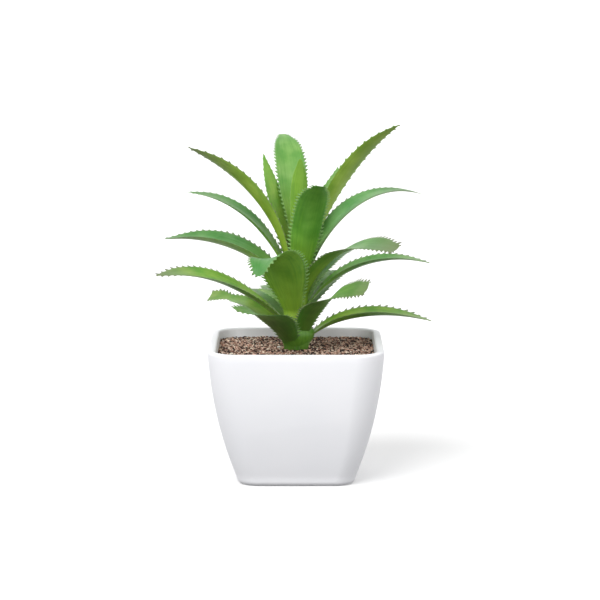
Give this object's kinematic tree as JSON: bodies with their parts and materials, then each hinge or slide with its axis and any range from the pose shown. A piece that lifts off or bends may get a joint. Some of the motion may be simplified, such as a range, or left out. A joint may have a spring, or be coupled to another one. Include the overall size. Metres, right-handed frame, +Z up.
{
  "type": "potted succulent",
  "caption": "Small succulent with long toothed arching leaves on a short stem, rooted in grit in a square white flared pot.",
  "frame": {"origin": "centre of the pot's flat underside", "axes": "+Z up along the stem; -Y is the front of the plant; +X to the right seen from the front"},
  "size_m": [0.128, 0.1049, 0.167],
  "materials": {
    "pot": "smooth moulded white with a soft sheen",
    "soil": "fine mixed grit, brown, beige and near black",
    "stem": "soft green, satin",
    "leaf": "satin green, bluer on the upper side and yellower at the base and underside, brown at the tips"
  },
  "bodies": {
    "root": {"pot": "pot", "soil": "soil", "stem": "stem", "leaf_01": "leaf", "leaf_02": "leaf", "leaf_03": "leaf", "leaf_04": "leaf", "leaf_05": "leaf", "leaf_06": "leaf", "leaf_07": "leaf", "leaf_08": "leaf", "leaf_09": "leaf", "leaf_10": "leaf", "leaf_11": "leaf", "leaf_12": "leaf", "leaf_13": "leaf", "leaf_14": "leaf", "leaf_15": "leaf", "leaf_16": "leaf", "leaf_17": "leaf", "leaf_18": "leaf", "leaf_19": "leaf", "leaf_20": "leaf", "leaf_21": "leaf", "leaf_22": "leaf", "leaf_23": "leaf", "leaf_24": "leaf", "leaf_25": "leaf", "leaf_26": "leaf", "leaf_27": "leaf"}
  },
  "joints": []
}
